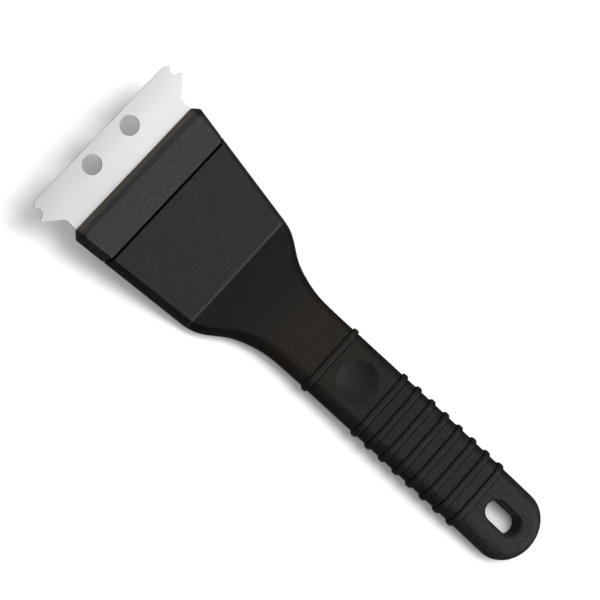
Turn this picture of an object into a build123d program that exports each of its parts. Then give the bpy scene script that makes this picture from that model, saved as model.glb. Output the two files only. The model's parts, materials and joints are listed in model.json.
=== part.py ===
from build123d import *
import math
import os

# Hand-held algae scraper: a stainless blade in a two-jaw holder, plugged into a two-shell handle.
# Everything is drawn in the blade's frame: the blade lies in the plane z = 0, its edge is at
# x = 0, x grows towards the handle's end and the handle rises from that plane.  At the end the
# whole tool is tipped about Y into the pose that it takes on a table, lying on its knee and on
# the end of its handle, and shifted so that the origin is under the middle of its box.

# ---- driving dimensions, mm and degrees ----
HALF_THICK = 6.0           # half the thickness of head and handle
REST_TILT = 18.9           # how far the tool is tipped to lie on a table

BLADE_THICK = 0.8
BLADE_HALF_WIDTH = 40.0    # over the side lugs
NECK_HALF_WIDTH = 32.7
BLADE_HOLE_R = 4.05
BLADE_HOLE_X = 6.3
BLADE_HOLE_Y = 10.6
TONGUE_END_X = 33.5        # rear edge of the blade, inside the holder
EDGE_GRIND = 1.4           # width of the ground bevel under the cutting edge

NOSE_FRONT_X = 19.3        # front of the holder at the parting plane
NOSE_WALL_HIGH = 3.8       # height of its steep front wall, under the chamfer
NOSE_WALL_LEAN = 0.9       # how far that wall leans back over its height
NOSE_CORNER_X = 22.4       # where its corner chamfers end
NOSE_FRONT_HALF = 32.9
NOSE_CORNER_R = 1.4
NOSE_BACK_X = 36.1
GROOVE = 0.8               # shadow gap between holder and head
GROOVE_DEPTH = 1.1
SPIGOT_LENGTH = 19.5
HEAD_WALL = 2.3
SLIDE_GAP = 0.15           # spigot in socket, on each side
LAND_GAP = 0.05            # holder's land to the head's front edge
JAW_PAD_X = 42.0
JAW_PAD_Y = 8.0
BLADE_GAP = 0.05           # blade in its pocket, above and below

HEAD_HALF_FRONT = 35.7     # half-width at the nose corners
HEAD_HALF_KNEE = 29.6      # half-width at the knee
FLANK_HEAD = 2.9           # how much narrower the top face is than the parting line
HEAD_ROUNDNESS = 0.15      # 0 is a straight flank and 1 an elliptical one

RIB1_X = 127.3             # first grip rib on the handle's centre line
RIB1_Z = 19.2
RISE = 21.8                # the handle's slope up to the first rib
ARCH_R = 720.0             # radius of the handle's arch behind it
GRIP_HALF = 15.45
FLANK_GRIP = 5.3
GRIP_SECTIONS = 6
GRIP_END = 111.7           # all lengths along the handle are from the first rib
END_ROUND = 13.4           # length of the rounded end
RIB2 = 26.95
RIB_PITCH = 7.58
RIBS_BEHIND = 8
BEAD_HALF = 1.4
BEAD_HEIGHT = 1.0
BEAD_ROUND = 0.95
DISH_AT = 13.66
DISH_R = 8.85
DISH_DEPTH = 1.6
SLOT_AT = 94.0
SLOT_LENGTH = 17.0
SLOT_WIDTH = 9.0
SLOT_EDGE = 0.8
GRIP_WALL = 3.0
CAVITY_END = 74.0

JAW_SCREW_X = 29.2
JAW_SCREW_Y = 22.0
JAW_SHANK_R = 1.5
JAW_HEAD_R = 2.75
JAW_HEAD_HIGH = 2.1
JAW_BOSS_R = 2.5
NUT_FLATS = 5.5
NUT_HIGH = 2.4

SOCKET_SCREW_X = 49.5
SOCKET_SCREW_Y = 18.0
BOSS_R = 3.1
BOSS_GAP = 0.35
SHELL_SHANK_R = 1.25
SHELL_HEAD_R = 2.2
SHELL_HEAD_HIGH = 1.8
SHELL_SCREW_TOP = 3.0      # how far a shell screw reaches above the parting plane
HEAD_SINK = 0.3            # how deep every screw head sits under the surface
RUNNING = 0.05             # radial clearance of a screw that turns
SEAM = 0.06                # half the fine gap that shows along the parting line
PAD_R = 2.6                # the bosses' end pads, which close that gap
WEB_THICK = 1.5
WEB_PITCH = 8.0
WEBS = 5
WEB_START_X = 60.0
WEB_END_X = 92.0

RISE_RAD = math.radians(RISE)
KNEE_AT = -RIB1_Z / math.sin(RISE_RAD)
KNEE_X = RIB1_X + KNEE_AT * math.cos(RISE_RAD)
HEAD_X = NOSE_BACK_X + GROOVE
SHELL_SCREWS_HEAD = [(72.5, 21.0), (72.5, -21.0)]
SHELL_SCREWS_GRIP = [-14.0, RIB2 + 2.5 * RIB_PITCH, RIB2 + 5.5 * RIB_PITCH]

# Half-width of the shoulders, at distances from the first rib, from the knee to the grip.
SHOULDER = [(-48.5, 28.8), (-44.5, 27.0), (-36.0, 21.1), (-29.0, 18.1), (-22.0, 16.3), (-14.0, 15.55)]


def centre_line(s):
    """Point and slope, in radians, of the handle's centre line at distance s from the first rib."""
    if s <= 0:
        return RIB1_X + s * math.cos(RISE_RAD), RIB1_Z + s * math.sin(RISE_RAD), RISE_RAD
    slope = RISE_RAD - s / ARCH_R
    x = RIB1_X + ARCH_R * (math.sin(RISE_RAD) - math.sin(slope))
    z = RIB1_Z + ARCH_R * (math.cos(slope) - math.cos(RISE_RAD))
    return x, z, slope


def on_handle(s):
    """Frame on the centre line: local X runs along the handle and local Z points out of its top."""
    x, z, slope = centre_line(s)
    return Pos(x, 0, z) * Rot(0, -math.degrees(slope), 0)


def head_half(x):
    """Half-width of the head at the parting plane."""
    share = (x - NOSE_CORNER_X) / (KNEE_X - NOSE_CORNER_X)
    return HEAD_HALF_FRONT + share * (HEAD_HALF_KNEE - HEAD_HALF_FRONT)


def flank_curve(half_width, half_high, flank, roundness, face, side, seam):
    """One side of a half section, from the flat face down to the parting line.
    Roundness 0 gives a straight flank and 1 gives an elliptical one."""
    top = half_width - flank
    high = half_high - seam
    bulge = 1 / 3 + roundness * 0.22
    return Bezier(
        (0, side * top, face * half_high),
        (0, side * (top + flank * bulge), face * (seam + high * (2 + roundness) / 3)),
        (0, side * (half_width - flank * (1 - roundness) / 3), face * (seam + high * bulge)),
        (0, side * half_width, face * seam),
    )


def flanks(half_width, half_high, flank, roundness, face, seam):
    """The two side curves of one half of a section, and the flat line that joins their tops."""
    top = half_width - flank
    edges = [Line((0, -top, face * half_high), (0, top, face * half_high))]
    for side in (1, -1):
        edges.append(flank_curve(half_width, half_high, flank, roundness, face, side, seam))
    return edges


def full_section(half_width, half_high, flank, roundness, place):
    """Whole cross-section in the place's YZ plane, its flanks meeting at mid-height."""
    upper = flanks(half_width, half_high, flank, roundness, 1, 0)
    return place * make_face(upper + flanks(half_width, half_high, flank, roundness, -1, 0))


def half_section(half_width, half_high, flank, roundness, place, face):
    """Upper or lower half of the cross-section, which stops at the seam."""
    edges = flanks(half_width, half_high, flank, roundness, face, SEAM)
    edges.append(Line((0, -half_width, face * SEAM), (0, half_width, face * SEAM)))
    return place * make_face(edges)


def cross_section(half_width, half_high, flank, roundness, place, face):
    """A half section where face is 1 or -1, and the whole section where it is 0."""
    if face == 0:
        return full_section(half_width, half_high, flank, roundness, place)
    return half_section(half_width, half_high, flank, roundness, place, face)


def knee_section(inset, face):
    """Section in the plane that halves the bend between head and handle."""
    half_bend = RISE / 2
    high = (HALF_THICK - inset) / math.cos(math.radians(half_bend))
    place = Pos(KNEE_X, 0, 0) * Rot(0, -half_bend, 0)
    return cross_section(HEAD_HALF_KNEE - inset, high, FLANK_HEAD, HEAD_ROUNDNESS, place, face)


def head_section(x, inset, face):
    """Section of the tapered head at x, its walls moved in by inset."""
    half_width = head_half(x) - inset
    return cross_section(half_width, HALF_THICK - inset, FLANK_HEAD, HEAD_ROUNDNESS, Pos(x, 0, 0), face)


def head_block(start, inset, face):
    """The tapered head from start to the knee."""
    return loft([head_section(start, inset, face), knee_section(inset, face)], ruled=True)


def handle_block(head_inset, grip_inset, last, face):
    """The handle from the knee to the distance last, the walls moved in as given."""
    sections = [knee_section(head_inset, face)]
    first = SHOULDER[0][0]
    for s, half_width in SHOULDER:
        share = (s - first) / (SHOULDER[-1][0] - first)
        flank = FLANK_HEAD + share * (FLANK_GRIP - FLANK_HEAD)
        inset = head_inset + share * (grip_inset - head_inset)
        roundness = HEAD_ROUNDNESS + (1 - HEAD_ROUNDNESS) * share
        place = on_handle(s)
        high = HALF_THICK - inset
        sections.append(cross_section(half_width - inset, high, flank, roundness, place, face))
    half_width = GRIP_HALF - grip_inset
    high = HALF_THICK - grip_inset
    for i in range(GRIP_SECTIONS + 1):
        place = on_handle(last * i / GRIP_SECTIONS)
        sections.append(cross_section(half_width, high, FLANK_GRIP, 1, place, face))
    return loft(sections)


def rounded_end(face):
    """Half of the handle's end: oval in plan, with the grip's own flank turned about it."""
    outline = [
        Line((0, 0, face * HALF_THICK), (0, GRIP_HALF - FLANK_GRIP, face * HALF_THICK)),
        flank_curve(GRIP_HALF, HALF_THICK, FLANK_GRIP, 1, face, 1, SEAM),
        Line((0, GRIP_HALF, face * SEAM), (0, 0, face * SEAM)),
        Line((0, 0, face * SEAM), (0, 0, face * HALF_THICK)),
    ]
    turned = revolve(make_face(outline), Axis.Z, -180)
    return on_handle(GRIP_END - END_ROUND) * scale(turned, by=(END_ROUND / GRIP_HALF, 1, 1))


def bead(s, face):
    """Upper or lower half of one raised rib that runs round the grip."""
    ring = full_section(GRIP_HALF + BEAD_HEIGHT, HALF_THICK + BEAD_HEIGHT, FLANK_GRIP + 0.4, 1, Location())
    ring = extrude(ring, BEAD_HALF, dir=(1, 0, 0), both=True)
    rims = [e for e in ring.edges() if abs(abs(e.center().X) - BEAD_HALF) < 0.01]
    ring = fillet(rims, BEAD_ROUND)
    ring -= Box(4 * BEAD_HALF, 2 * GRIP_HALF - 3, 2 * HALF_THICK - 3)
    clear = 1.5 * SEAM
    half = ring & Pos(0, 0, face * (10 + clear)) * Box(10, 50, 20)
    return on_handle(s) * half


def thumb_dish():
    ball = (DISH_R**2 + DISH_DEPTH**2) / (2 * DISH_DEPTH)
    return on_handle(DISH_AT) * Pos(0, 0, HALF_THICK - DISH_DEPTH + ball) * Sphere(ball)


def hang_slot():
    """The slot through the handle's end, with its edges broken on both faces."""
    hole = extrude(SlotOverall(SLOT_LENGTH, SLOT_WIDTH), HALF_THICK + 2, both=True)
    for face in (1, -1):
        inner = Pos(0, 0, face * (HALF_THICK - SLOT_EDGE)) * SlotOverall(SLOT_LENGTH, SLOT_WIDTH)
        wide = Pos(0, 0, face * (HALF_THICK + SLOT_EDGE)) * SlotOverall(
            SLOT_LENGTH + 4 * SLOT_EDGE, SLOT_WIDTH + 4 * SLOT_EDGE
        )
        hole += loft([inner, wide], ruled=True)
    return on_handle(SLOT_AT) * hole


def upright(radius, low, high):
    """A cylinder about the local Z axis from low to high."""
    return Pos(0, 0, low) * Cylinder(radius, high - low, align=(Align.CENTER, Align.CENTER, Align.MIN))


def screw(shank_r, head_r, head_high, top):
    """A screw driven from below: its head sits just under the face and has a hex socket."""
    seat = -HALF_THICK + HEAD_SINK + head_high
    body = upright(head_r, seat - head_high, seat) + upright(shank_r, seat, top)
    socket = extrude(RegularPolygon(head_r * 0.5, 6), head_high * 0.6)
    return body - Pos(0, 0, seat - head_high) * socket


def screw_hole(shank_r, head_r, head_high, clearance):
    """Counterbore and clearance hole from the underside to the parting plane."""
    seat = -HALF_THICK + HEAD_SINK + head_high + RUNNING
    return upright(head_r + 0.2, -HALF_THICK - 2, seat) + upright(shank_r + clearance, seat - 1, 0.5)


def shell_screw_places():
    """Where the shell screws stand: two in the head and three along the handle."""
    places = [Pos(x, y, 0) for x, y in SHELL_SCREWS_HEAD]
    return places + [on_handle(s) for s in SHELL_SCREWS_GRIP]


def socket_screw_places():
    return [Pos(SOCKET_SCREW_X, side * SOCKET_SCREW_Y, 0) for side in (1, -1)]


def handle_cavity():
    """The hollow of head and handle, less the bosses and webs that stand in it."""
    hollow = head_block(HEAD_X - 1, HEAD_WALL, 0) + handle_block(HEAD_WALL, GRIP_WALL, CAVITY_END, 0)
    for i in range(WEBS):
        y = (i - (WEBS - 1) / 2) * WEB_PITCH
        hollow -= Pos((WEB_START_X + WEB_END_X) / 2, y, 0) * Box(WEB_END_X - WEB_START_X, WEB_THICK, 60)
    for place in shell_screw_places() + socket_screw_places():
        hollow -= place * upright(BOSS_R, -HALF_THICK, HALF_THICK)
    return hollow


def handle_shell(face):
    """Upper shell where face is 1 and lower shell where it is -1, without its screw holes."""
    shell = head_block(HEAD_X, 0, face) + handle_block(0, 0, GRIP_END - END_ROUND, face) + rounded_end(face)
    for s in [0] + [RIB2 + i * RIB_PITCH for i in range(RIBS_BEHIND)]:
        shell += bead(s, face)
    shell -= hang_slot()
    shell -= handle_cavity()
    for place in shell_screw_places() + socket_screw_places():
        shell += place * Pos(0, 0, face * SEAM * 2) * Cylinder(PAD_R, SEAM * 4)
    return shell


def upper_shell():
    shell = handle_shell(1) - thumb_dish()
    for place in shell_screw_places():
        shell -= place * upright(SHELL_SHANK_R + 0.02, -1, SHELL_SCREW_TOP + 0.2)
    for place in socket_screw_places():
        shell -= place * upright(SHELL_SHANK_R + RUNNING, -1, SHELL_SCREW_TOP + 0.2)
    return shell


def lower_shell():
    shell = handle_shell(-1)
    for place in shell_screw_places() + socket_screw_places():
        shell -= place * screw_hole(SHELL_SHANK_R, SHELL_HEAD_R, SHELL_HEAD_HIGH, RUNNING)
    return shell


def shell_screw():
    return screw(SHELL_SHANK_R, SHELL_HEAD_R, SHELL_HEAD_HIGH, SHELL_SCREW_TOP)


def nose_face(z, setback, inset):
    """Plan outline of the holder's nose at height z: its front moved back by setback and its
    sides moved in by inset, with rounded front corners."""
    half = [
        (NOSE_FRONT_X + setback, NOSE_FRONT_HALF - inset * 0.2),
        (NOSE_CORNER_X + setback * 0.4, HEAD_HALF_FRONT - inset),
        (NOSE_BACK_X, head_half(NOSE_BACK_X) - inset),
    ]
    points = half + [(x, -y) for x, y in reversed(half)]
    outline = make_face(Polyline(*points, close=True))
    front_corners = [v for v in outline.vertices() if v.X < NOSE_BACK_X - 1]
    return Pos(0, 0, z) * fillet(front_corners, NOSE_CORNER_R)


def nose_half(face):
    """Upper or lower half of the holder's nose: a steep front wall with a chamfer above it."""
    levels = [
        nose_face(face * SEAM, 0, 0),
        nose_face(face * NOSE_WALL_HIGH, NOSE_WALL_LEAN, FLANK_HEAD * NOSE_WALL_HIGH / HALF_THICK),
        nose_face(face * HALF_THICK, FLANK_HEAD, FLANK_HEAD),
    ]
    return loft(levels, ruled=True)


def holder_jaw(face):
    """Upper or lower jaw: half of the nose, and half of the spigot that plugs into the head."""
    jaw = nose_half(face)
    spigot_end = HEAD_X + SPIGOT_LENGTH
    for inset, end in ((GROOVE_DEPTH, HEAD_X - LAND_GAP), (HEAD_WALL + SLIDE_GAP, spigot_end)):
        ends = [head_section(NOSE_BACK_X - 1, inset, face), head_section(end, inset, face)]
        jaw += loft(ends, ruled=True)
    pocket_high = BLADE_THICK / 2 + BLADE_GAP
    pocket_length = TONGUE_END_X + 0.2
    jaw -= Pos(pocket_length / 2, 0, 0) * Box(pocket_length, 2 * NECK_HALF_WIDTH + 0.4, 2 * pocket_high)
    for place in socket_screw_places():
        jaw -= place * upright(BOSS_R + BOSS_GAP, -HALF_THICK, HALF_THICK)
        run = spigot_end + 1 - SOCKET_SCREW_X
        jaw -= place * Pos(run / 2, 0, 0) * Box(run, 2 * (BOSS_R + BOSS_GAP), 2 * HALF_THICK)
    for side in (1, -1):
        jaw += Pos(JAW_PAD_X, side * JAW_PAD_Y, face * SEAM * 2) * Cylinder(PAD_R, SEAM * 4)
    return jaw


def jaw_screw_places():
    return [Pos(JAW_SCREW_X, y, 0) for y in (JAW_SCREW_Y, 0, -JAW_SCREW_Y)]


def upper_jaw():
    """Upper jaw, with a hex pocket for each captive nut."""
    jaw = holder_jaw(1)
    pocket_low = BLADE_THICK / 2 + BLADE_GAP
    for place in jaw_screw_places():
        hexagon = RegularPolygon(NUT_FLATS / 2 + 0.05, 6, major_radius=False)
        jaw -= place * extrude(hexagon, pocket_low + NUT_HIGH + 0.1)
        jaw -= place * upright(JAW_SHANK_R + 0.2, 0, pocket_low + NUT_HIGH + 1)
    return jaw


def lower_jaw():
    """Lower jaw, with bosses that stand through the notches in the blade's tongue."""
    jaw = holder_jaw(-1)
    pocket_high = BLADE_THICK / 2 + BLADE_GAP
    for place in jaw_screw_places():
        jaw += place * upright(JAW_BOSS_R, -1, pocket_high)
        jaw -= place * screw_hole(JAW_SHANK_R, JAW_HEAD_R, JAW_HEAD_HIGH, RUNNING)
    return jaw


def jaw_nuts():
    """Three captive hex nuts, one solid each."""
    low = BLADE_THICK / 2 + BLADE_GAP + 0.02
    nut = extrude(RegularPolygon(NUT_FLATS / 2, 6, major_radius=False), NUT_HIGH)
    nut -= upright(JAW_SHANK_R + RUNNING, -1, NUT_HIGH + 1)
    return [place * Pos(0, 0, low) * nut for place in jaw_screw_places()]


def blade():
    """Stainless blade: straight edge, scalloped lugs, a narrower neck and a notched tongue."""
    half = [
        Line((0, 0), (0, 36.1)),
        Line((0, 36.1), (1.6, 38.4)),
        ThreePointArc((1.6, 38.4), (4.2, 36.9), (6.4, 39.0)),
        ThreePointArc((6.4, 39.0), (7.2, BLADE_HALF_WIDTH), (8.1, 39.3)),
        Line((8.1, 39.3), (13.1, 33.6)),
        ThreePointArc((13.1, 33.6), (13.9, 32.9), (15.0, NECK_HALF_WIDTH)),
        Line((15.0, NECK_HALF_WIDTH), (TONGUE_END_X, NECK_HALF_WIDTH)),
        Line((TONGUE_END_X, NECK_HALF_WIDTH), (TONGUE_END_X, 0)),
        Line((TONGUE_END_X, 0), (0, 0)),
    ]
    right = make_face(half)
    plate = extrude(right + mirror(right, Plane.XZ), BLADE_THICK / 2, both=True)
    plate = max(plate.solids(), key=lambda s: s.volume)
    for side in (1, -1):
        plate -= Pos(BLADE_HOLE_X, side * BLADE_HOLE_Y, 0) * upright(BLADE_HOLE_R, -2, 2)
    notch_r = JAW_BOSS_R + BOSS_GAP
    for place in jaw_screw_places():
        run = TONGUE_END_X + 1 - JAW_SCREW_X
        plate -= place * upright(notch_r, -2, 2)
        plate -= place * Pos(run / 2, 0, 0) * Box(run, 2 * notch_r, 4)
    grind = [(-1, -0.3), (0, -0.1), (EDGE_GRIND, -BLADE_THICK / 2), (EDGE_GRIND, -2), (-1, -2)]
    wedge = make_face(Polyline(*[(x, 0, z) for x, z in grind], close=True))
    return plate - extrude(wedge, 60, dir=(0, 1, 0), both=True)


def scraper():
    """Every node, by name, as a list of solids in the blade's frame."""
    nodes = {
        "upper_shell": [upper_shell()],
        "lower_shell": [lower_shell()],
        "shell_screws": [place * shell_screw() for place in shell_screw_places()],
        "upper_jaw": [upper_jaw()],
        "lower_jaw": [lower_jaw()],
        "jaw_nuts": jaw_nuts(),
        "blade": [blade()],
    }
    for side, place in zip(("left", "right"), socket_screw_places()):
        nodes["socket_screw_" + side] = [place * shell_screw()]
    jaw_screw = screw(JAW_SHANK_R, JAW_HEAD_R, JAW_HEAD_HIGH, BLADE_THICK / 2 + NUT_HIGH + 0.4)
    for side, place in zip(("left", "middle", "right"), jaw_screw_places()):
        nodes["jaw_screw_" + side] = [place * jaw_screw]
    return nodes


def lay_on_table(nodes):
    """Tip every node into the resting pose and put the origin under the middle of the box."""
    tip = Rot(0, REST_TILT, 0)
    laid = {name: [tip * solid for solid in solids] for name, solids in nodes.items()}
    box = Compound([solid for solids in laid.values() for solid in solids]).bounding_box()
    shift = Pos(-(box.min.X + box.max.X) / 2, 0, -box.min.Z)
    print("shift of the blade frame's origin", shift.position, "tip", REST_TILT)
    return {name: [shift * solid for solid in solids] for name, solids in laid.items()}


def one_shape(solids):
    """A single solid where there is one, otherwise a group of separate solids."""
    found = [s for item in solids for s in item.solids()]
    return found[0] if len(found) == 1 else Compound(found)


if __name__ == "__main__":
    os.makedirs("parts", exist_ok=True)
    for name, solids in lay_on_table(scraper()).items():
        export_step(one_shape(solids), f"parts/{name}.step")
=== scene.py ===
import json
import math

import bpy
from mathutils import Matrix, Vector

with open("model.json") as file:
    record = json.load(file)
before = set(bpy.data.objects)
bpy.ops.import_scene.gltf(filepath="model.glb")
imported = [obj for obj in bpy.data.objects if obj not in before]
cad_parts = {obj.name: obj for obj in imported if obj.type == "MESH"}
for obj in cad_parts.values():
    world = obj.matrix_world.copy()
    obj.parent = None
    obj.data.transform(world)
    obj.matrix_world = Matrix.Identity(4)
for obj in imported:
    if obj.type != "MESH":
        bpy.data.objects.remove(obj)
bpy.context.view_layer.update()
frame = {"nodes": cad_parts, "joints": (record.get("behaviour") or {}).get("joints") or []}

MM = 0.001
scene = bpy.context.scene
JOINTS = {joint["name"]: joint for joint in frame["joints"]}
FORWARD = Vector(JOINTS["holder_slide"]["axis"])   # out of the nose, along the blade
X_AXIS = (1, 0, 0)                                 # from the blade towards the grip's end


def reach(node):
    """How far forward a node's foremost point is."""
    return max(FORWARD.dot(vertex.co) for vertex in frame["nodes"][node].data.vertices)


SEAM = reach("upper_shell")                   # the joint behind the nose
NOSE_FRONT = reach("upper_jaw") - 1.17 * MM   # just behind the top of the nose's leaning front wall
GROUND_EDGE = reach("blade") - 1.27 * MM      # where the grind starts, behind the cutting edge
CREASE = (-44.4 * MM, -43.1 * MM)             # along X, where the head turns up into the grip


# ---- node trees ----
def rgba(colour):
    """A colour or a grey, with its alpha."""
    channels = colour if isinstance(colour, tuple) else (colour, colour, colour)
    return (*channels, 1)


class Nodes:
    """A node tree, with short calls that add and join its nodes."""

    def __init__(self, tree):
        self.tree = tree

    def add(self, kind, **settings):
        """Adds a node. Each setting goes to its property or its socket of that name."""
        node = self.tree.nodes.new(kind)
        for key, value in settings.items():
            if hasattr(node, key):
                setattr(node, key, value)
            else:
                node.inputs[key.replace("_", " ")].default_value = value
        return node

    def join(self, start, end):
        self.tree.links.new(start, end)

    def feed(self, socket, value):
        """Joins a node's output to a socket, or gives the socket a fixed value."""
        if isinstance(value, bpy.types.NodeSocket):
            self.join(value, socket)
        elif socket.type == "RGBA":
            socket.default_value = rgba(value)
        else:
            socket.default_value = value

    def span(self, value, start, end, low=0.0, high=1.0, kind="LINEAR"):
        """Goes from low to high as the value goes from start to end."""
        node = self.add("ShaderNodeMapRange", interpolation_type=kind,
                        From_Min=start, From_Max=end, To_Min=low, To_Max=high)
        self.join(value, node.inputs["Value"])
        return node.outputs["Result"]

    def ramp(self, value, stops, kind="LINEAR"):
        """Colours or greys at stops, a list of (value, colour or grey)."""
        node = self.add("ShaderNodeValToRGB")
        node.color_ramp.interpolation = kind
        elements = node.color_ramp.elements
        while len(elements) < len(stops):
            elements.new(0.5)
        for element, (place, colour) in zip(elements, stops):
            element.position = place
            element.color = rgba(colour)
        self.join(value, node.inputs["Fac"])
        return node.outputs["Color"]

    def combine(self, operation, first, second, kind="ShaderNodeMath"):
        """Works out a number from two others or, with ShaderNodeVectorMath, a colour."""
        node = self.add(kind, operation=operation)
        self.feed(node.inputs[0], first)
        self.feed(node.inputs[1], second)
        return node.outputs[0]


class Shader(Nodes):
    """A material, placed by its object's own coordinates."""

    def __init__(self, name, **sockets):
        self.material = bpy.data.materials.new(name)
        self.material.use_nodes = True
        super().__init__(self.material.node_tree)
        self.surface = self.tree.nodes["Principled BSDF"]
        for socket, value in sockets.items():
            self.surface.inputs[socket.replace("_", " ")].default_value = value
        self.place = self.add("ShaderNodeTexCoord").outputs["Object"]

    def set(self, socket, value):
        self.join(value, self.surface.inputs[socket])

    def mix(self, share, first, second, kind="MIX"):
        """Blends two colours, each of them an output, a colour or a grey."""
        node = self.add("ShaderNodeMix", data_type="RGBA", blend_type=kind)
        self.feed(node.inputs["Factor"], share)
        self.feed(node.inputs[6], first)
        self.feed(node.inputs[7], second)
        return node.outputs[2]

    def times(self, first, second):
        return self.mix(1.0, first, second, "MULTIPLY")

    def noise(self, scale, detail=2.0, roughness=0.5, stretch=(1, 1, 1)):
        """Noise with about `scale` cells to the metre, drawn out along an axis where asked."""
        mapping = self.add("ShaderNodeMapping", Scale=stretch)
        self.join(self.place, mapping.inputs["Vector"])
        node = self.add("ShaderNodeTexNoise", Scale=scale, Detail=detail, Roughness=roughness)
        self.join(mapping.outputs["Vector"], node.inputs["Vector"])
        return node.outputs["Fac"]

    def along(self, direction, start, end):
        """0 to 1 as the place goes from start to end, in metres, along a direction."""
        dot = self.add("ShaderNodeVectorMath", operation="DOT_PRODUCT")
        dot.inputs[1].default_value = direction
        self.join(self.place, dot.inputs[0])
        return self.span(dot.outputs["Value"], start, end)

    def nearness(self, distance, inside=False):
        """White on open faces, darker within a distance of a corner or, inside, an outer edge."""
        node = self.add("ShaderNodeAmbientOcclusion", samples=8, inside=inside, only_local=True)
        node.inputs["Distance"].default_value = distance
        return node.outputs["AO"]

    def round_edges(self, radius):
        return self.add("ShaderNodeBevel", samples=6, Radius=radius).outputs["Normal"]

    def bump(self, height, distance, strength, under):
        node = self.add("ShaderNodeBump", Distance=distance, Strength=strength)
        self.join(height, node.inputs["Height"])
        self.join(under, node.inputs["Normal"])
        return node.outputs["Normal"]


# Noise scales are in cells to the metre, and most of any noise lies between these two values.
NOISE_LOW = 0.35
NOISE_HIGH = 0.65


# ---- black plastic ----
PLASTIC_IOR = 1.46
SHELL_GLOSS = 0.40
JAW_GLOSS = 0.62
GRAIN_SCALE = 2400
GRAIN_HEIGHT = 0.20 * MM
FLECK_SCALE = 1600
FLECK_SHARE = [(0.44, 0.0), (0.64, 1.0)]
FLECK_ROUGHNESS = [(NOISE_LOW, 0.30), (NOISE_HIGH, 0.40)]
CLOUD_SCALE = 70
CLOUD_TONE = [(NOISE_LOW, 0.85), (NOISE_HIGH, 1.0)]
PLASTIC_EDGE_R = 0.2 * MM

# Tones by nearness: painted shade at the roots of ribs and walls and in hollows, and a painted
# highlight along outer edges.
ROOT_DISTANCE = 0.9 * MM
ROOT_PAINTED_SHADE = [(0.58, 0.05), (0.93, 1.0)]
HOLLOW_DISTANCE = 9 * MM
HOLLOW_PAINTED_SHADE = [(0.45, 0.05), (0.80, 1.0)]
HOLLOW_ROUGHNESS = 0.95
EDGE_DISTANCE = 1.2 * MM
EDGE_PAINTED_HIGHLIGHT = [(0.35, 1.45), (0.75, 1.0)]

# Tones by place: the dark joint, a painted highlight along the crease, and a painted warm reflection of
# the blade on the nose's front wall.
SEAM_HALF = 0.6 * MM
SEAM_TONE = [(0.05, 1.0), (0.25, 0.12), (0.75, 0.12), (0.95, 1.0)]
CREASE_HIGHLIGHT_SHARE = [(0.0, 0.0), (0.4, 1.0), (0.6, 1.0), (1.0, 0.0)]
CREASE_HIGHLIGHT_COLOUR = (0.027, 0.027, 0.028)
FRONT_BLEND = 0.1 * MM
FRONT_WALL_REFLECTION_COLOUR = (0.034, 0.028, 0.021)

# Tones along the tool, with painted light and shade in them: X in mm, the ground's colour there and its
# flecks' colour. The slope behind the crease is painted dark (painted shade), the neck warm (painted
# warm light) and the grip's end light (painted light).
SHELL_TONES_AND_PAINTED_LIGHT = [
    (-85, (0.0010, 0.0011, 0.0015), (0.0110, 0.0118, 0.0137)),
    (-44, (0.0008, 0.0009, 0.0013), (0.0105, 0.0113, 0.0131)),
    # painted shade on the slope just behind the crease
    (-43, (0.0006, 0.0006, 0.0006), (0.0028, 0.0028, 0.0027)),
    (-25, (0.0012, 0.0012, 0.0011), (0.0042, 0.0040, 0.0038)),
    # painted warm light on the neck
    (-10, (0.0056, 0.0037, 0.0019), (0.0112, 0.0082, 0.0050)),
    (20, (0.0036, 0.0029, 0.0021), (0.0120, 0.0103, 0.0084)),
    (75, (0.0026, 0.0025, 0.0024), (0.0135, 0.0133, 0.0131)),
    # painted light at the grip's end
    (100, (0.0044, 0.0044, 0.0044), (0.0215, 0.0215, 0.0217)),
]
JAW_TONES = [(x, (0.0016, 0.0018, 0.0022), (0.0175, 0.0187, 0.0207)) for x in (-100, -80)]


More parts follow.
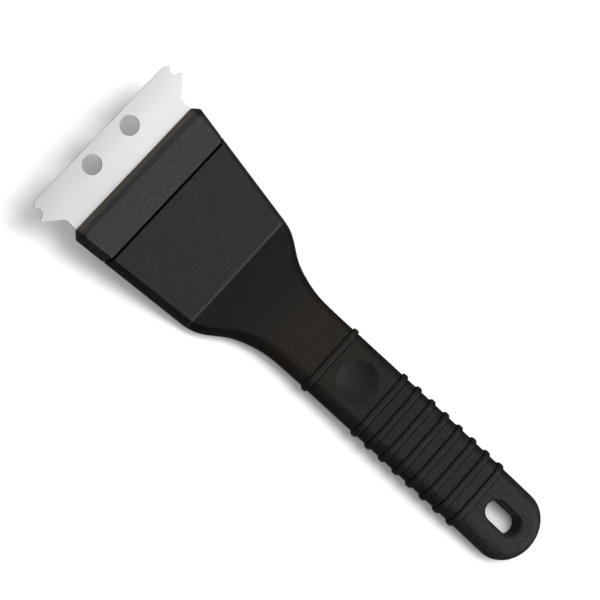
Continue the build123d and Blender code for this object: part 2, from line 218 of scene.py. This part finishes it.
def moulded_plastic(name, tones, gloss, front_wall_reflection=False, crease_highlight=False):
    """Black plastic with a spark-eroded grain, whose tones change along the tool with painted light and
    shade. Painted shade darkens corners and hollows, and a painted highlight lightens outer edges.
    """
    shader = Shader(name, IOR=PLASTIC_IOR, Specular_IOR_Level=gloss)
    places, ground_tones, fleck_tones = zip(*tones)
    first = places[0]
    last = places[-1]
    where = shader.along(X_AXIS, first * MM, last * MM)
    shares = [(place - first) / (last - first) for place in places]
    ground = shader.ramp(where, list(zip(shares, ground_tones)))
    fleck = shader.ramp(where, list(zip(shares, fleck_tones)))
    if front_wall_reflection:
        # Painted reflection: the nose's front wall is warm and lighter, as if lit by the bright blade.
        reflection_share = shader.along(FORWARD, NOSE_FRONT - FRONT_BLEND, NOSE_FRONT + FRONT_BLEND)
        ground = shader.mix(reflection_share, ground, FRONT_WALL_REFLECTION_COLOUR)
        fleck = shader.mix(reflection_share, fleck, FRONT_WALL_REFLECTION_COLOUR)
    if crease_highlight:
        # Painted highlight: a lighter line along the crease.
        crease_highlight_mask = shader.ramp(shader.along(X_AXIS, *CREASE), CREASE_HIGHLIGHT_SHARE)
        ground = shader.mix(crease_highlight_mask, ground, CREASE_HIGHLIGHT_COLOUR)
        fleck = shader.mix(crease_highlight_mask, fleck, CREASE_HIGHLIGHT_COLOUR)

    flecks = shader.noise(FLECK_SCALE, detail=1)
    tone = shader.mix(shader.ramp(flecks, FLECK_SHARE), ground, fleck)
    tone = shader.times(tone, shader.ramp(shader.noise(CLOUD_SCALE, detail=3), CLOUD_TONE))

    # Painted shade: darker at the roots of ribs and walls.
    root_shade = shader.ramp(shader.nearness(ROOT_DISTANCE), ROOT_PAINTED_SHADE)
    seam = shader.ramp(shader.along(FORWARD, SEAM - SEAM_HALF, SEAM + SEAM_HALF), SEAM_TONE)
    # Painted shade: darker inside hollows such as the slot.
    hollow_shade = shader.ramp(shader.nearness(HOLLOW_DISTANCE), HOLLOW_PAINTED_SHADE)
    # corner holds the painted shade together with the dark joint.
    corner = shader.times(shader.times(root_shade, seam), hollow_shade)
    # Painted highlight: outer edges lighter.
    edge = shader.ramp(shader.nearness(EDGE_DISTANCE, inside=True), EDGE_PAINTED_HIGHLIGHT)
    shader.set("Base Color", shader.times(shader.times(tone, corner), edge))
    # The painted shade and the dark joint also dim the gloss there.
    shader.set("Specular Tint", corner)

    skin = shader.ramp(flecks, FLECK_ROUGHNESS)
    shader.set("Roughness", shader.mix(hollow_shade, HOLLOW_ROUGHNESS, skin))
    grain = shader.noise(GRAIN_SCALE, detail=2, roughness=0.6)
    rounded = shader.round_edges(PLASTIC_EDGE_R)
    shader.set("Normal", shader.bump(grain, GRAIN_HEIGHT, strength=1.0, under=rounded))
    return shader.material


# ---- steel ----
SATIN_METAL = 0.80              # the brushed lines scatter the rest of the light
STEEL_DRIFT = 0.03              # how far colour and roughness drift over a face
STEEL_CLOUD_SCALE = 40
STEEL_EDGE_R = 0.15 * MM
BRUSH_STRETCH = (1, 0.03, 1)    # the brushed lines run along Y, across the blade
BRUSH_HEIGHT = 0.0005 * MM
BRUSH_STRENGTH = 0.2
# Painted shade on the blade: darker from the nose towards the cutting edge.
BLADE_EDGE_SHADE = [(0.0, 1.0), (0.50, 0.98), (0.85, 0.87), (1.0, 0.82)]


def satin_steel(name, colour, roughness, lines, painted_edge_shade=False):
    """Stainless steel with a faint brushed grain. Where asked, painted shade darkens it from the nose
    towards the cutting edge.
    """
    shader = Shader(name, Metallic=SATIN_METAL)
    brushed = shader.noise(lines, detail=3, stretch=BRUSH_STRETCH)
    darker = tuple(channel * (1 - STEEL_DRIFT) for channel in colour)
    cloud = shader.noise(STEEL_CLOUD_SCALE)
    tone = shader.ramp(cloud, [(NOISE_LOW, darker), (NOISE_HIGH, colour)])
    if painted_edge_shade:
        # Painted shade, darker towards the cutting edge.
        edge_shade = shader.ramp(shader.along(FORWARD, NOSE_FRONT, GROUND_EDGE), BLADE_EDGE_SHADE)
        tone = shader.times(tone, edge_shade)
    shader.set("Base Color", tone)
    smoother = roughness * (1 - STEEL_DRIFT)
    rougher = roughness * (1 + STEEL_DRIFT)
    shader.set("Roughness", shader.ramp(brushed, [(0.3, smoother), (0.7, rougher)]))
    rounded = shader.round_edges(STEEL_EDGE_R)
    shader.set("Normal", shader.bump(brushed, BRUSH_HEIGHT, BRUSH_STRENGTH, under=rounded))
    return shader.material


# ---- finishes ----
UPPER_PLASTIC = moulded_plastic("black_upper_plastic", SHELL_TONES_AND_PAINTED_LIGHT, SHELL_GLOSS, crease_highlight=True)
LOWER_PLASTIC = moulded_plastic("black_lower_plastic", SHELL_TONES_AND_PAINTED_LIGHT, SHELL_GLOSS)
JAW_PLASTIC = moulded_plastic("black_jaw_plastic", JAW_TONES, JAW_GLOSS, front_wall_reflection=True)
BLADE_STEEL = satin_steel("satin_blade_steel", colour=(0.65, 0.65, 0.65), roughness=0.30,
                          lines=1800, painted_edge_shade=True)
SCREW_STEEL = satin_steel("plain_screw_steel", colour=(0.62, 0.62, 0.63), roughness=0.35,
                          lines=2500)
FINISHES = {
    "upper_shell": UPPER_PLASTIC,
    "lower_shell": LOWER_PLASTIC,
    "upper_jaw": JAW_PLASTIC,
    "lower_jaw": JAW_PLASTIC,
    "blade": BLADE_STEEL,
}

# Every node that isn't in FINISHES is a screw, or a group of screws or nuts.
for node, piece in frame["nodes"].items():
    piece.data.materials.clear()
    piece.data.materials.append(FINISHES.get(node, SCREW_STEEL))


# ---- stage ----
STAGE_CENTRE = Vector((0, 0, 0))
FLOOR_SIZE = 6
PAPER_SCALE = 300
PAPER_TONE = [(NOISE_LOW, 0.90), (NOISE_HIGH, 0.92)]
FLOOR_GLOW = 0.9                # keeps the floor pale far out, where the lamps hardly reach
FLOOR_GLOW_SPAN = (0.5, 1.8)    # from where it starts to glow to where it glows fully

# The air's tone along X, from -1, ahead of the blade, to 1, behind the grip: dark just ahead of
# straight overhead, warm just behind it, and neutral towards both ends.
AIR_TONES = [
    (-0.90, (0.46, 0.46, 0.46)),
    (-0.50, (0.36, 0.345, 0.33)),
    (-0.28, (0.0, 0.0, 0.0)),
    (-0.08, (0.0, 0.0, 0.0)),
    (0.13, (0.74, 0.60, 0.43)),
    (0.26, (0.80, 0.72, 0.63)),
    (0.43, (1.20, 1.20, 1.20)),
    (0.60, (0.36, 0.37, 0.39)),
    (0.80, (1.20, 1.22, 1.25)),
    (1.00, (1.10, 1.12, 1.15)),
]
AIR_STRENGTH = 2.6
BAND_START = (-0.25, 0.45)      # where the band of that tone fades in along Y
BAND_END = (0.72, 0.38)         # where it fades out again
BAND_FOOT = (-0.10, 0.12)       # where it fades in along Z
LOW_AIR = (0.07, 0.25)          # outside the band, on the near side and on the far side
LOW_AIR_SPAN = (-0.20, 0.70)    # where the one turns into the other along Y
END_AIR = 0.45                  # ahead of the blade and behind the grip
END_SPAN = (0.30, 0.60)         # where it fades in along X, either way
LOW_AIR_FOOT = (-0.30, 0.0)     # where all of that fades in along Z
TABLE_GLOW = 0.12               # from below, which the foot of each flank shows
GLOW_TOP = (-0.55, -0.80)       # where it fades in on the way down
GLOW_FOOT = (-0.975, -0.93)     # where it fades out, nearly straight below
DARKEST_AIR = 0.02


def white_paper():
    """Paper for the floor, which glows faintly far out."""
    shader = Shader("floor_paper", Roughness=0.9, Specular_IOR_Level=0.0)
    shader.set("Base Color", shader.ramp(shader.noise(PAPER_SCALE), PAPER_TONE))
    distance = shader.add("ShaderNodeVectorMath", operation="LENGTH")
    shader.join(shader.place, distance.inputs[0])
    glow = shader.span(distance.outputs["Value"], *FLOOR_GLOW_SPAN, high=FLOOR_GLOW)
    shader.set("Emission Strength", glow)
    return shader.material


def floor():
    """A white table. Gloss doesn't show it, so the flanks stay as dark as on a studio stand."""
    bpy.ops.mesh.primitive_plane_add(size=FLOOR_SIZE, location=STAGE_CENTRE)
    plane = bpy.context.object
    plane.name = "table"
    plane.data.materials.append(white_paper())
    plane.visible_glossy = False


def softbox(name, place, size, power, colour=(1, 1, 1)):
    """A soft square lamp that shapes and casts shadows, but doesn't show in gloss."""
    light = bpy.data.lights.new(name, "AREA")
    light.shape = "SQUARE"
    light.size = size
    light.energy = power
    light.color = colour
    lamp = bpy.data.objects.new(name, light)
    lamp.location = place
    lamp.rotation_euler = (STAGE_CENTRE - Vector(place)).to_track_quat("-Z", "Y").to_euler()
    lamp.visible_glossy = False
    scene.collection.objects.link(lamp)


def studio_air():
    """The light all round, which gloss shows: a bright band overhead along the tool, dark beside it."""
    world = bpy.data.worlds.new("studio_air")
    world.use_nodes = True
    air = Nodes(world.node_tree)
    axes = air.add("ShaderNodeSeparateXYZ")
    air.join(air.add("ShaderNodeTexCoord").outputs["Generated"], axes.inputs["Vector"])
    x, y, z = axes.outputs

    def fade(axis, start, end, low=0.0, high=1.0):
        return air.span(axis, start, end, low, high, "SMOOTHSTEP")

    stops = [((place + 1) / 2, tone) for place, tone in AIR_TONES]
    tones = air.ramp(air.span(x, -1.0, 1.0), stops, "B_SPLINE")
    band = air.combine("MULTIPLY", fade(y, *BAND_START), fade(y, *BAND_END))
    band = air.combine("MULTIPLY", band, fade(z, *BAND_FOOT))
    band = air.combine("MULTIPLY", band, AIR_STRENGTH)
    bright = air.combine("MULTIPLY", tones, band, "ShaderNodeVectorMath")

    start, full = END_SPAN
    ends = air.combine("MAXIMUM", fade(x, start, full), fade(x, -start, -full))
    ends = air.combine("MULTIPLY", ends, END_AIR)
    low = air.combine("MAXIMUM", fade(y, *LOW_AIR_SPAN, *LOW_AIR), ends)
    low = air.combine("MULTIPLY", low, fade(z, *LOW_AIR_FOOT))
    glow = air.combine("MULTIPLY", fade(z, *GLOW_TOP), fade(z, *GLOW_FOOT))
    glow = air.combine("MULTIPLY", glow, TABLE_GLOW)
    low = air.combine("MAXIMUM", air.combine("MAXIMUM", glow, low), DARKEST_AIR)
    light = air.combine("MAXIMUM", bright, low, "ShaderNodeVectorMath")
    air.join(light, air.tree.nodes["Background"].inputs["Color"])
    scene.world = world


def studio():
    softbox("key", place=(0.17, 0.30, 1.25), size=0.5, power=9.5)
    softbox("fill", place=(0, 0, 1.3), size=2.4, power=13.5, colour=(0.97, 0.98, 1.01))
    studio_air()


def camera():
    """Above the head, looking almost straight down, with the blade at the upper left."""
    data = bpy.data.cameras.new("camera")
    data.lens = 105.3
    data.sensor_width = 36
    data.clip_start = 0.01
    eye = bpy.data.objects.new("camera", data)
    eye.location = (-0.0590, -0.1086, 0.7016)
    eye.rotation_euler = [math.radians(angle) for angle in (4.86, -9.03, 42.20)]
    scene.collection.objects.link(eye)
    scene.camera = eye


floor()
studio()
camera()
scene.view_settings.view_transform = "Standard"
